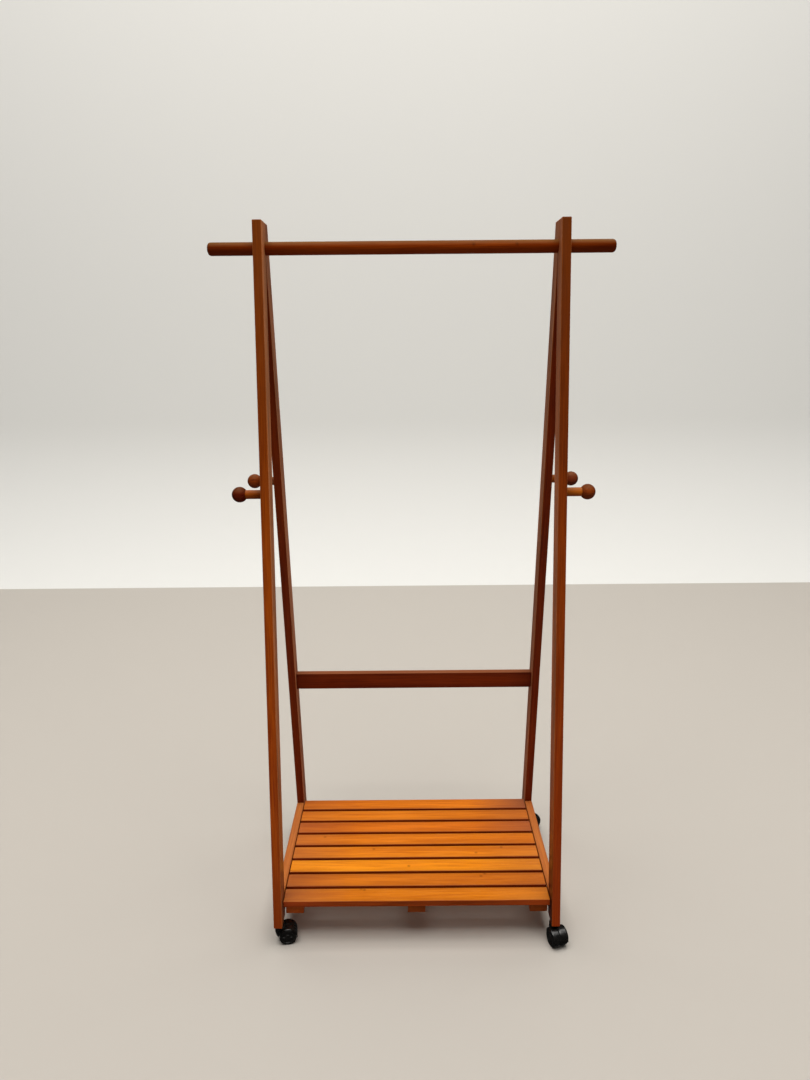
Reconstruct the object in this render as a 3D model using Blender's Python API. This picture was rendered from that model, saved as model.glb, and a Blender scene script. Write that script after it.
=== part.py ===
"""A clothes rack of stained beech on twin-wheel casters: two A-shaped sides, a round rail, a slatted shelf."""

import math

import bmesh
import bpy
from mathutils import Matrix, Vector

# Overall frame, in metres: X runs along the rail, -Y is the front, Z is up from the floor
FRAME_HEIGHT = 1.650
FRAME_WIDTH = 0.678
TOP_DEPTH = 0.077
LEG_TILT = math.radians(7.3)
LEG_THICKNESS = 0.020
LEG_WIDTH = 0.048
LEG_END_HEIGHT = 0.0525

# Clearance between mating pieces, and the eased edges of the planed bars
GAP = 0.0003
EASE = 0.0015
EASE_STEPS = 2
ROUND_STEPS = 28
BALL_STEPS = 24
WHEEL_STEPS = 24
HOLE_STEPS = 14
DRILL_OVERRUN = 0.010
SHARP_ANGLE = math.radians(35)

# Hanging rail
RAIL_DIAMETER = 0.028
RAIL_LENGTH = 0.890
RAIL_DROP = 0.0545
RAIL_END_ROUNDING = 0.0075
RAIL_END_STEPS = 4

# Bottom rails, with a stub tenon on each end
BOTTOM_RAIL_HEIGHT = 0.045
TENON_THICKNESS = 0.008
TENON_SHOULDER = 0.009
TENON_LENGTH = 0.016

# Shelf
SHELF_HEIGHT = 0.110
SHELF_CENTRE_Y = -0.0125
SLAT_COUNT = 8
SLAT_WIDTH = 0.0455
SLAT_THICKNESS = 0.015
SLAT_GAP = 0.008
SLAT_END_GAP = 0.002
BEARER_WIDTH = 0.042
BEARER_THICKNESS = 0.020
BEARER_INSET = 0.005
BEARER_SETBACK = 0.004

# Rear crossbar
CROSSBAR_CENTRE_HEIGHT = 0.505
CROSSBAR_HEIGHT = 0.044
CROSSBAR_THICKNESS = 0.020

# Pegs
PEG_HEIGHT = 1.068
PEG_DIAMETER = 0.020
PEG_SEAT = 0.015
KNOB_DIAMETER = 0.035
KNOB_REACH = 0.050
KNOB_SEAT_PAST_CENTRE = 0.003
PEG_CHAMFER = 0.001

# Connecting screws of the crossbar and the shelf, and the wood screws that lock the rail
CONNECTOR_DIAMETER = 0.0065
CONNECTOR_HEAD_DIAMETER = 0.010
CONNECTOR_HEAD_HEIGHT = 0.003
CONNECTOR_LENGTH = 0.050
SHELF_SCREW_SPACING = 0.260
SOCKET_DIAMETER = 0.004
SOCKET_DEPTH = 0.002
RAIL_SCREW_DIAMETER = 0.004
RAIL_SCREW_HEAD_DIAMETER = 0.008
RAIL_SCREW_HEAD_HEIGHT = 0.0025
RAIL_SCREW_PAST_AXIS = -0.004
POINT_LENGTH = 0.004

# Casters
WHEEL_DIAMETER = 0.040
WHEEL_WIDTH = 0.016
WHEEL_EDGE = 0.0025
WHEEL_INNER_CHAMFER = 0.001
WHEEL_RECESS = 0.0015
WHEEL_RECESS_RADIUS = 0.0135
WEB_THICKNESS = 0.005
WHEEL_SIDE_GAP = 0.0007
AXLE_DIAMETER = 0.005
AXLE_CLEARANCE = 0.0003
AXLE_SEAT_IN_WHEEL = 0.012
TRAIL = 0.0185
HOOD_CLEARANCE = 0.001
HOOD_WALL = 0.0022
HOOD_WIDTH = 0.040
HOOD_WIDEST_AT = 0.004
HOOD_CORNER = 0.004
HOOD_REAR_ANGLE = math.radians(-6)
HOOD_FRONT_ANGLE = math.radians(177)
NECK_RADIUS = 0.0115
NECK_LOW = 0.016
NECK_FOOT_RADIUS = 0.0085
NECK_FOOT_HEIGHT = 0.011
WHEEL_SPACE_STEPS = 40
HOOD_EASE = 0.0015
HOOD_SHARP_ANGLE = math.radians(50)
AXLE_BOSS_RADIUS = 0.006
STEM_DIAMETER = 0.008
STEM_SEAT = 0.0085
STEM_IN_LEG = 0.018
COLLAR_DIAMETER = 0.015
COLLAR_HEIGHT = 0.0024
INSERT_DIAMETER = 0.011
INSERT_LENGTH = 0.020
FLANGE_DIAMETER = 0.016
FLANGE_HEIGHT = 0.0012

# Which way each caster trails, in degrees about +Z from +X
CASTER_HEADINGS = {
    ("left", "front"): 8.0,
    ("right", "front"): -74.0,
    ("left", "rear"): 74.0,
    ("right", "rear"): -20.0,
}

SIDES = {"left": -1, "right": 1}
ENDS = {"front": -1, "rear": 1}

# Places worked out from the sizes above
LEG_CENTRE_X = (FRAME_WIDTH - LEG_THICKNESS) / 2
INNER_X = FRAME_WIDTH / 2 - LEG_THICKNESS
OUTER_X = FRAME_WIDTH / 2
LEG_RUN = LEG_WIDTH / math.cos(LEG_TILT)
RAIL_HEIGHT = FRAME_HEIGHT - RAIL_DROP
SLAT_LENGTH = 2 * (INNER_X - SLAT_END_GAP)
SHELF_DEPTH = SLAT_COUNT * SLAT_WIDTH + (SLAT_COUNT - 1) * SLAT_GAP
BEARER_TOP = SHELF_HEIGHT - SLAT_THICKNESS - GAP
BEARER_MIDDLE = BEARER_TOP - BEARER_THICKNESS / 2
WHEEL_RADIUS = WHEEL_DIAMETER / 2
INSERT_TOP_OF_FLANGE = LEG_END_HEIGHT - GAP
COLLAR_TOP = INSERT_TOP_OF_FLANGE - FLANGE_HEIGHT - GAP
NECK_TOP = COLLAR_TOP - COLLAR_HEIGHT - GAP
STEM_FOOT = NECK_TOP - STEM_SEAT


def outer_face(z):
    """Distance of a leg's outer edge from the middle plane, at height z."""
    return TOP_DEPTH / 2 + math.tan(LEG_TILT) * (FRAME_HEIGHT - z)


def inner_face(z):
    return outer_face(z) - LEG_RUN


def leg_middle(z):
    return outer_face(z) - LEG_RUN / 2


def clear_scene():
    for obj in list(bpy.data.objects):
        bpy.data.objects.remove(obj, do_unlink=True)


def material(name, colour, roughness, metallic=0.0):
    made = bpy.data.materials.new(name)
    made.use_nodes = True
    shader = made.node_tree.nodes["Principled BSDF"]
    shader.inputs["Base Color"].default_value = (*colour, 1.0)
    shader.inputs["Roughness"].default_value = roughness
    shader.inputs["Metallic"].default_value = metallic
    made.diffuse_color = (*colour, 1.0)
    return made


def stained_beech(name, shade=1.0):
    return material(name, (0.30 * shade, 0.085 * shade, 0.015 * shade), 0.40)


def orange_slat_beech(name):
    return material(name, (0.62, 0.19, 0.015), 0.38)


def bright_steel(name):
    return material(name, (0.55, 0.55, 0.56), 0.30, 1.0)


def black_plastic(name):
    return material(name, (0.012, 0.014, 0.013), 0.25)


def place(name, mesh, surface, location=(0, 0, 0), parent=None):
    """An object of this mesh at its place, in its own material."""
    obj = bpy.data.objects.new(name, mesh)
    bpy.context.scene.collection.objects.link(obj)
    obj.location = location
    obj.parent = parent
    if surface:
        mesh.materials.append(surface)
    return obj


def mesh_of(name, bm):
    bmesh.ops.recalc_face_normals(bm, faces=bm.faces)
    mesh = bpy.data.meshes.new(name)
    bm.to_mesh(mesh)
    bm.free()
    return mesh


def ease_edges(bm, keep_sharp=None):
    """Rounds the sharp edges of a planed bar, apart from those that keep_sharp picks."""
    sharp = [e for e in bm.edges if e.calc_face_angle(0) > SHARP_ANGLE]
    if keep_sharp:
        sharp = [e for e in sharp if not keep_sharp(e)]
    bmesh.ops.bevel(bm, geom=sharp, offset=EASE, segments=EASE_STEPS, profile=0.5, affect="EDGES")


def extruded(outline, thickness, axis="X"):
    """A bmesh of the outline, extruded evenly to both sides: along X an outline of (y, z), along Z of (x, y)."""
    bm = bmesh.new()
    half = thickness / 2
    if axis == "X":
        corners = [bm.verts.new((-half, a, b)) for a, b in outline]
        move = Vector((thickness, 0, 0))
    else:
        corners = [bm.verts.new((a, b, -half)) for a, b in outline]
        move = Vector((0, 0, thickness))
    face = bm.faces.new(corners)
    grown = bmesh.ops.extrude_face_region(bm, geom=[face])
    bmesh.ops.translate(bm, vec=move, verts=[v for v in grown["geom"] if isinstance(v, bmesh.types.BMVert)])
    return bm


def planed_bar(name, outline, thickness, location, surface, keep_sharp=None):
    bm = extruded(outline, thickness)
    bmesh.ops.recalc_face_normals(bm, faces=bm.faces)
    ease_edges(bm, keep_sharp)
    return place(name, mesh_of(name, bm), surface, location)


def rectangle(width, height):
    return [(-width / 2, -height / 2), (width / 2, -height / 2), (width / 2, height / 2), (-width / 2, height / 2)]


def turned(name, profile, steps=ROUND_STEPS):
    """A mesh turned round +Z. The profile is (radius, height) from one end of the axis to the other."""
    bm = bmesh.new()
    rings = []
    for radius, height in profile:
        if radius == 0:
            rings.append([bm.verts.new((0, 0, height))])
            continue
        angles = (2 * math.pi * i / steps for i in range(steps))
        rings.append([bm.verts.new((radius * math.cos(a), radius * math.sin(a), height)) for a in angles])
    for low, high in zip(rings, rings[1:]):
        for i in range(steps):
            j = (i + 1) % steps
            corners = [low[i % len(low)], low[j % len(low)], high[j % len(high)], high[i % len(high)]]
            bm.faces.new(list(dict.fromkeys(corners)))
    mesh = mesh_of(name, bm)
    mesh.shade_smooth()
    mesh.set_sharp_from_angle(angle=SHARP_ANGLE)
    return mesh


def arc(centre, radius, start, end, steps):
    """Points of a circular arc, both ends included, with angles in radians."""
    angles = (start + (end - start) * i / steps for i in range(steps + 1))
    return [(centre[0] + radius * math.cos(a), centre[1] + radius * math.sin(a)) for a in angles]


def aim(obj, direction):
    """Turns the object so that its own +Z points along the direction."""
    obj.rotation_euler = Vector(direction).to_track_quat("Z", "Y").to_euler()


def subtract(target, cutter):
    cut = target.modifiers.new(cutter.name, "BOOLEAN")
    cut.operation = "DIFFERENCE"
    cut.object = cutter


def hide_as_tool(obj):
    obj.hide_render = True
    obj.display_type = "WIRE"
    return obj


def drill(name, targets, mouth, direction, bores, steps=HOLE_STEPS):
    """Drills into each target from the mouth. The bores are (diameter, depth), the widest first."""
    profile = [(0, -DRILL_OVERRUN), (bores[0][0] / 2, -DRILL_OVERRUN)]
    for (diameter, depth), (following, _) in zip(bores, bores[1:] + [(0, 0)]):
        profile += [(diameter / 2, depth), (following / 2, depth)]
    cutter = hide_as_tool(place(name, turned(name, profile, steps), None, mouth))
    aim(cutter, direction)
    for target in targets:
        subtract(target, cutter)


def on_mitre(edge):
    """True for the edges where a pair of legs meets in the middle plane, which stay sharp."""
    return all(abs(v.co.y) < GAP for v in edge.verts)


def build_legs():
    legs = {}
    crotch = FRAME_HEIGHT - (LEG_RUN - GAP / 2 - TOP_DEPTH / 2) / math.tan(LEG_TILT)
    for side, sx in SIDES.items():
        for end, sy in ENDS.items():
            name = f"{side}_{end}_leg"
            outline = [
                (sy * outer_face(FRAME_HEIGHT), FRAME_HEIGHT),
                (sy * GAP / 2, FRAME_HEIGHT),
                (sy * GAP / 2, crotch),
                (sy * inner_face(LEG_END_HEIGHT), LEG_END_HEIGHT),
                (sy * outer_face(LEG_END_HEIGHT), LEG_END_HEIGHT),
            ]
            where = (sx * LEG_CENTRE_X, 0, 0)
            legs[side, end] = planed_bar(name, outline, LEG_THICKNESS, where, stained_beech(name), on_mitre)
    return legs


def build_hanging_rail(legs):
    half = RAIL_LENGTH / 2
    radius = RAIL_DIAMETER / 2
    flat = radius - RAIL_END_ROUNDING
    profile = [(0, -half)]
    profile += arc((flat, -half + RAIL_END_ROUNDING), RAIL_END_ROUNDING, -math.pi / 2, 0, RAIL_END_STEPS)
    profile += arc((flat, half - RAIL_END_ROUNDING), RAIL_END_ROUNDING, 0, math.pi / 2, RAIL_END_STEPS)
    profile += [(0, half)]
    rail = place("hanging_rail", turned("hanging_rail", profile), stained_beech("hanging_rail", 0.8))
    rail.location = (0, 0, RAIL_HEIGHT)
    aim(rail, (1, 0, 0))
    for (side, end), leg in legs.items():
        mouth = (SIDES[side] * OUTER_X, 0, RAIL_HEIGHT)
        inward = (-SIDES[side], 0, 0)
        bore = (RAIL_DIAMETER + 2 * GAP, LEG_THICKNESS + DRILL_OVERRUN)
        drill(f"{side}_{end}_rail_bore", [leg], mouth, inward, [bore], ROUND_STEPS)
    return rail


def bottom_rail_outline(low, high, reach):
    """The side view of a bottom rail, whose ends follow the legs' inner faces and pass them by reach."""
    return [
        (-inner_face(low) - reach, low),
        (inner_face(low) + reach, low),
        (inner_face(high) + reach, high),
        (-inner_face(high) - reach, high),
    ]


def build_bottom_rails(legs):
    rails = {}
    low = SHELF_HEIGHT - BOTTOM_RAIL_HEIGHT
    tenon_low = low + TENON_SHOULDER
    tenon_high = SHELF_HEIGHT - TENON_SHOULDER
    for side, sx in SIDES.items():
        name = f"{side}_bottom_rail"
        centre = (sx * LEG_CENTRE_X, 0, 0)
        outline = bottom_rail_outline(low, SHELF_HEIGHT, -GAP)
        rail = planed_bar(name, outline, LEG_THICKNESS, centre, stained_beech(name, 1.1))
        plate = extruded(bottom_rail_outline(tenon_low, tenon_high, TENON_LENGTH), TENON_THICKNESS)
        tenons = hide_as_tool(place(f"{side}_tenons", mesh_of("tenons", plate), None, centre))
        join = rail.modifiers.new("tenons", "BOOLEAN")
        join.operation = "UNION"
        join.object = tenons
        hollow = bottom_rail_outline(tenon_low - GAP, tenon_high + GAP, TENON_LENGTH + GAP)
        mortise = mesh_of("mortises", extruded(hollow, TENON_THICKNESS + 2 * GAP))
        mortises = hide_as_tool(place(f"{side}_mortises", mortise, None, centre))
        for end in ENDS:
            subtract(legs[side, end], mortises)
        rails[side] = rail
    return rails


def build_crossbar():
    name = "rear_crossbar"
    length = 2 * (INNER_X - GAP)
    outline = rectangle(CROSSBAR_THICKNESS, CROSSBAR_HEIGHT)
    where = (0, leg_middle(CROSSBAR_CENTRE_HEIGHT), CROSSBAR_CENTRE_HEIGHT)
    return planed_bar(name, outline, length, where, stained_beech(name, 0.8))


def build_slats():
    first = SHELF_CENTRE_Y - SHELF_DEPTH / 2 + SLAT_WIDTH / 2
    for i in range(SLAT_COUNT):
        name = f"slat_{i + 1}"
        where = (0, first + i * (SLAT_WIDTH + SLAT_GAP), SHELF_HEIGHT - SLAT_THICKNESS / 2)
        planed_bar(name, rectangle(SLAT_WIDTH, SLAT_THICKNESS), SLAT_LENGTH, where, orange_slat_beech(name))


def build_bearers():
    end_x = SLAT_LENGTH / 2 - BEARER_INSET - BEARER_WIDTH / 2
    bearers = {}
    for side, x in (("left", -end_x), ("centre", 0), ("right", end_x)):
        name = f"{side}_bearer"
        outline = rectangle(SHELF_DEPTH - 2 * BEARER_SETBACK, BEARER_THICKNESS)
        where = (x, SHELF_CENTRE_Y, BEARER_MIDDLE)
        bearers[side] = planed_bar(name, outline, BEARER_WIDTH, where, stained_beech(name))
    return bearers


def build_pegs(legs):
    seat_in_knob = KNOB_REACH + KNOB_SEAT_PAST_CENTRE
    radius = KNOB_DIAMETER / 2
    bore_radius = PEG_DIAMETER / 2 + GAP
    mouth_angle = math.asin(bore_radius / radius)
    # The angles run from the ball's far pole round to the mouth of the bore, which faces the leg
    ball = arc((0, 0), radius, math.pi / 2, mouth_angle - math.pi / 2, 9)
    ball[0] = (0, radius)
    floor_of_bore = KNOB_SEAT_PAST_CENTRE + GAP
    knob_profile = ball + [(bore_radius, floor_of_bore), (0, floor_of_bore)]
    peg_radius = PEG_DIAMETER / 2
    peg_profile = [
        (0, GAP - PEG_SEAT),
        (peg_radius - PEG_CHAMFER, GAP - PEG_SEAT),
        (peg_radius, GAP - PEG_SEAT + PEG_CHAMFER),
        (peg_radius, seat_in_knob - PEG_CHAMFER),
        (peg_radius - PEG_CHAMFER, seat_in_knob),
        (0, seat_in_knob),
    ]
    for (side, end), leg in legs.items():
        sx = SIDES[side]
        foot = Vector((sx * OUTER_X, ENDS[end] * leg_middle(PEG_HEIGHT), PEG_HEIGHT))
        outward = Vector((sx, 0, 0))
        drill(f"{side}_{end}_peg_bore", [leg], foot, -outward, [(PEG_DIAMETER + 2 * GAP, PEG_SEAT)], ROUND_STEPS)
        peg = f"{side}_{end}_peg"
        aim(place(peg, turned(peg, peg_profile, BALL_STEPS), stained_beech(peg, 1.3), foot), outward)
        knob = f"{side}_{end}_knob"
        centre = foot + outward * KNOB_REACH
        aim(place(knob, turned(knob, knob_profile, BALL_STEPS), stained_beech(knob, 0.7), centre), outward)


def connector_profile():
    """A furniture connecting screw with a flat cylindrical head, from its socket down to its point."""
    head = CONNECTOR_HEAD_DIAMETER / 2
    shank = CONNECTOR_DIAMETER / 2
    tip = CONNECTOR_LENGTH
    return [
        (0, SOCKET_DEPTH),
        (SOCKET_DIAMETER / 2, SOCKET_DEPTH),
        (SOCKET_DIAMETER / 2, 0),
        (head, 0),
        (head, CONNECTOR_HEAD_HEIGHT),
        (shank, CONNECTOR_HEAD_HEIGHT),
        (shank, tip - POINT_LENGTH),
        (shank / 2, tip),
        (0, tip),
    ]


def connector(name, through, into, face, direction):
    """A connecting screw let in flush with the face, through one bar and into the next."""
    direction = Vector(direction)
    start = Vector(face) + direction * GAP
    screw = place(name, turned(name, connector_profile(), HOLE_STEPS), bright_steel(name), start)
    aim(screw, direction)
    head_bore = (CONNECTOR_HEAD_DIAMETER + 2 * GAP, CONNECTOR_HEAD_HEIGHT + 2 * GAP)
    shank_bore = (CONNECTOR_DIAMETER + 2 * GAP, CONNECTOR_LENGTH + 2 * GAP)
    drill(f"{name}_bore", [through, into], face, direction, [head_bore, shank_bore])


def build_connectors(legs, rails, crossbar, bearers):
    for side, sx in SIDES.items():
        inward = (-sx, 0, 0)
        face = (sx * OUTER_X, leg_middle(CROSSBAR_CENTRE_HEIGHT), CROSSBAR_CENTRE_HEIGHT)
        connector(f"{side}_crossbar_screw", legs[side, "rear"], crossbar, face, inward)
        for end, sy in ENDS.items():
            face = (sx * OUTER_X, SHELF_CENTRE_Y + sy * SHELF_SCREW_SPACING / 2, BEARER_MIDDLE)
            connector(f"{side}_{end}_shelf_screw", rails[side], bearers[side], face, inward)


def build_rail_screws(legs, rail):
    head = RAIL_SCREW_HEAD_DIAMETER / 2
    shank = RAIL_SCREW_DIAMETER / 2
    start_y = outer_face(RAIL_HEIGHT) - RAIL_SCREW_HEAD_HEIGHT
    length = start_y - RAIL_SCREW_PAST_AXIS - POINT_LENGTH
    profile = [
        (0, 0),
        (head, 0),
        (shank, RAIL_SCREW_HEAD_HEIGHT),
        (shank, length - POINT_LENGTH),
        (shank / 4, length),
        (0, length),
    ]
    forward = Vector((0, -1, 0))
    for side, sx in SIDES.items():
        name = f"{side}_rail_screw"
        start = Vector((sx * LEG_CENTRE_X, start_y, RAIL_HEIGHT))
        aim(place(name, turned(name, profile, HOLE_STEPS), bright_steel(name), start), forward)
        head_bore = (RAIL_SCREW_HEAD_DIAMETER + 2 * GAP, RAIL_SCREW_HEAD_HEIGHT + GAP)
        shank_bore = (RAIL_SCREW_DIAMETER + 2 * GAP, length + GAP)
        drill(f"{name}_bore", [legs[side, "rear"], rail], start, forward, [head_bore, shank_bore])


def fender_outline():
    """The fender's side view, solid down to its ends: (distance along the trail, height)."""
    outside = WHEEL_RADIUS + HOOD_CLEARANCE + HOOD_WALL
    return arc((TRAIL, WHEEL_RADIUS), outside, HOOD_REAR_ANGLE, HOOD_FRONT_ANGLE, 16)


def hood_plan_outline():
    """The fender's plan: half an ellipse round the stem, then straight sides and rounded rear corners."""
    half = HOOD_WIDTH / 2
    rear = TRAIL + WHEEL_RADIUS + HOOD_CLEARANCE + HOOD_WALL + HOOD_EASE
    front = arc((0, 0), 1, math.pi / 2, 3 * math.pi / 2, 14)
    nose = [(HOOD_WIDEST_AT + x * (HOOD_WIDEST_AT + NECK_RADIUS), y * half) for x, y in front]
    corner = HOOD_CORNER
    right = arc((rear - corner, -half + corner), corner, -math.pi / 2, 0, 3)
    left = arc((rear - corner, half - corner), corner, 0, math.pi / 2, 3)
    return nose + right + left


def along_trail(name, outline, width):
    """An outline of (distance along the trail, height), drawn right across the caster."""
    bm = extruded(outline, width)
    bmesh.ops.rotate(bm, cent=(0, 0, 0), matrix=Matrix.Rotation(-math.pi / 2, 3, "Z"), verts=bm.verts)
    return mesh_of(name, bm)


def neck_profile():
    """The neck that holds the stem, tapered at its foot."""
    return [
        (0, NECK_LOW), (NECK_FOOT_RADIUS, NECK_LOW), (NECK_RADIUS, NECK_LOW + NECK_FOOT_HEIGHT),
        (NECK_RADIUS, NECK_TOP - HOOD_EASE), (NECK_RADIUS - HOOD_EASE, NECK_TOP), (0, NECK_TOP),
    ]


def web_outline():
    """The plate between the wheels, which carries the axle and joins the fender."""
    axle = (TRAIL, WHEEL_RADIUS)
    reach = WHEEL_RADIUS + HOOD_CLEARANCE + HOOD_WALL / 2
    outline = arc(axle, reach, math.radians(20), math.radians(190), 8)
    return outline + arc(axle, AXLE_BOSS_RADIUS, math.radians(235), math.radians(340), 6)


def shape(body, operation, tool):
    """Adds a boolean step to a body, with a tool that is hidden afterwards."""
    step = body.modifiers.new(tool.name, "BOOLEAN")
    step.operation = operation
    step.solver = "EXACT"
    step.object = hide_as_tool(tool)


def build_caster(side, end, leg):
    sx = SIDES[side]
    name = f"{side}_{end}_caster"
    foot_y = ENDS[end] * leg_middle(LEG_END_HEIGHT)
    stem_x = sx * LEG_CENTRE_X
    build_insert_and_stem(name, leg, stem_x, foot_y)

    swivel = bpy.data.objects.new(f"{name}_swivel", None)
    bpy.context.scene.collection.objects.link(swivel)
    swivel.location = (stem_x, foot_y, 0)
    swivel.rotation_euler = (0, 0, math.radians(CASTER_HEADINGS[side, end]))

    wide = HOOD_WIDTH + 2 * DRILL_OVERRUN
    fender = along_trail(name, fender_outline(), wide)
    hood = place(f"{name}_hood", fender, black_plastic(f"{name}_hood"), parent=swivel)
    plan = extruded(hood_plan_outline(), 2 * (NECK_TOP + DRILL_OVERRUN), "Z")
    shape(hood, "INTERSECT", place(f"{name}_plan", mesh_of("plan", plan), None, parent=swivel))
    soften = hood.modifiers.new("soften", "BEVEL")
    soften.width = HOOD_EASE
    soften.segments = 1
    soften.limit_method = "ANGLE"
    soften.angle_limit = HOOD_SHARP_ANGLE
    neck = turned("neck", neck_profile(), ROUND_STEPS)
    shape(hood, "UNION", place(f"{name}_neck", neck, None, parent=swivel))
    around_wheels = arc((TRAIL, WHEEL_RADIUS), WHEEL_RADIUS + HOOD_CLEARANCE, 0, 2 * math.pi, WHEEL_SPACE_STEPS)
    wheel_space = along_trail("wheel_space", around_wheels[:-1], wide + 2 * DRILL_OVERRUN)
    shape(hood, "DIFFERENCE", place(f"{name}_wheel_space", wheel_space, None, parent=swivel))
    web = along_trail("web", web_outline(), WEB_THICKNESS)
    shape(hood, "UNION", place(f"{name}_web", web, None, parent=swivel))
    stem_bore = turned("stem_bore", [
        (0, STEM_FOOT - GAP),
        (STEM_DIAMETER / 2 + GAP, STEM_FOOT - GAP),
        (STEM_DIAMETER / 2 + GAP, NECK_TOP + DRILL_OVERRUN),
        (0, NECK_TOP + DRILL_OVERRUN),
    ], HOLE_STEPS)
    subtract(hood, hide_as_tool(place(f"{name}_stem_bore", stem_bore, None, parent=swivel)))
    across = WEB_THICKNESS / 2 + DRILL_OVERRUN
    axle_bore = turned("axle_bore", [
        (0, -across), (AXLE_DIAMETER / 2 + AXLE_CLEARANCE, -across),
        (AXLE_DIAMETER / 2 + AXLE_CLEARANCE, across), (0, across),
    ], HOLE_STEPS)
    bore = hide_as_tool(place(f"{name}_axle_bore", axle_bore, None, (TRAIL, 0, WHEEL_RADIUS), swivel))
    aim(bore, (0, 1, 0))
    subtract(hood, bore)

    build_axle_and_wheels(name, swivel)


def build_insert_and_stem(name, leg, stem_x, foot_y):
    radius = INSERT_DIAMETER / 2
    bore = STEM_DIAMETER / 2 + GAP
    top = LEG_END_HEIGHT + INSERT_LENGTH
    low = INSERT_TOP_OF_FLANGE - FLANGE_HEIGHT
    insert_profile = [
        (bore, low), (FLANGE_DIAMETER / 2, low), (FLANGE_DIAMETER / 2, INSERT_TOP_OF_FLANGE),
        (radius, INSERT_TOP_OF_FLANGE), (radius, top), (bore, top), (bore, low),
    ]
    insert = f"{name}_insert"
    place(insert, tube(insert, insert_profile), bright_steel(insert), (stem_x, foot_y, 0))
    mouth = (stem_x, foot_y, LEG_END_HEIGHT)
    drill(f"{name}_insert_bore", [leg], mouth, (0, 0, 1), [(INSERT_DIAMETER + 2 * GAP, INSERT_LENGTH + GAP)])
    stem_radius = STEM_DIAMETER / 2
    stem_profile = [
        (0, STEM_FOOT), (stem_radius, STEM_FOOT), (stem_radius, COLLAR_TOP - COLLAR_HEIGHT),
        (COLLAR_DIAMETER / 2, COLLAR_TOP - COLLAR_HEIGHT), (COLLAR_DIAMETER / 2, COLLAR_TOP),
        (stem_radius, COLLAR_TOP), (stem_radius, LEG_END_HEIGHT + STEM_IN_LEG),
        (0, LEG_END_HEIGHT + STEM_IN_LEG),
    ]
    stem = f"{name}_stem"
    place(stem, turned(stem, stem_profile, HOLE_STEPS), bright_steel(stem), (stem_x, foot_y, 0))


def tube(name, profile, steps=HOLE_STEPS):
    """A ring turned from a closed profile, whose last point repeats its first."""
    bm = bmesh.new()
    rings = []
    for radius, height in profile[:-1]:
        angles = (2 * math.pi * i / steps for i in range(steps))
        rings.append([bm.verts.new((radius * math.cos(a), radius * math.sin(a), height)) for a in angles])
    for low, high in zip(rings, rings[1:] + rings[:1]):
        for i in range(steps):
            j = (i + 1) % steps
            bm.faces.new([low[i], low[j], high[j], high[i]])
    return mesh_of(name, bm)


def wheel_profile():
    """A wheel from its blind bore, over its rim, to its shallow dished outer face. Height is outwards."""
    bore = AXLE_DIAMETER / 2 + AXLE_CLEARANCE
    bore_end = AXLE_SEAT_IN_WHEEL + GAP
    rim = arc((WHEEL_RADIUS - WHEEL_EDGE, WHEEL_WIDTH - WHEEL_EDGE), WHEEL_EDGE, 0, math.pi / 2, 2)
    return [
        (0, bore_end), (bore, bore_end), (bore, 0),
        (WHEEL_RADIUS - WHEEL_INNER_CHAMFER, 0), (WHEEL_RADIUS, WHEEL_INNER_CHAMFER), *rim,
        (WHEEL_RECESS_RADIUS, WHEEL_WIDTH), (WHEEL_RECESS_RADIUS - WHEEL_RECESS, WHEEL_WIDTH - WHEEL_RECESS),
        (0, WHEEL_WIDTH - WHEEL_RECESS),
    ]


def build_axle_and_wheels(name, swivel):
    inner = WEB_THICKNESS / 2 + WHEEL_SIDE_GAP
    half_axle = inner + AXLE_SEAT_IN_WHEEL
    centre = (TRAIL, 0, WHEEL_RADIUS)
    radius = AXLE_DIAMETER / 2
    axle_profile = [(0, -half_axle), (radius, -half_axle), (radius, half_axle), (0, half_axle)]
    axle = f"{name}_axle"
    aim(place(axle, turned(axle, axle_profile, HOLE_STEPS), bright_steel(axle), centre, swivel), (0, 1, 0))
    for number, across in ((1, -1), (2, 1)):
        wheel = f"{name}_wheel_{number}"
        mesh = turned(wheel, wheel_profile(), WHEEL_STEPS)
        at = (TRAIL, across * inner, WHEEL_RADIUS)
        aim(place(wheel, mesh, black_plastic(wheel), at, swivel), (0, across, 0))


clear_scene()
frame_legs = build_legs()
hanging_rail = build_hanging_rail(frame_legs)
bottom_rails = build_bottom_rails(frame_legs)
rear_crossbar = build_crossbar()
build_slats()
shelf_bearers = build_bearers()
build_pegs(frame_legs)
build_connectors(frame_legs, bottom_rails, rear_crossbar, shelf_bearers)
build_rail_screws(frame_legs, hanging_rail)
for (side_name, end_name), caster_leg in frame_legs.items():
    build_caster(side_name, end_name, caster_leg)
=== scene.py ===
import math
import random

import bmesh
import bpy
from mathutils import Matrix, Vector


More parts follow.
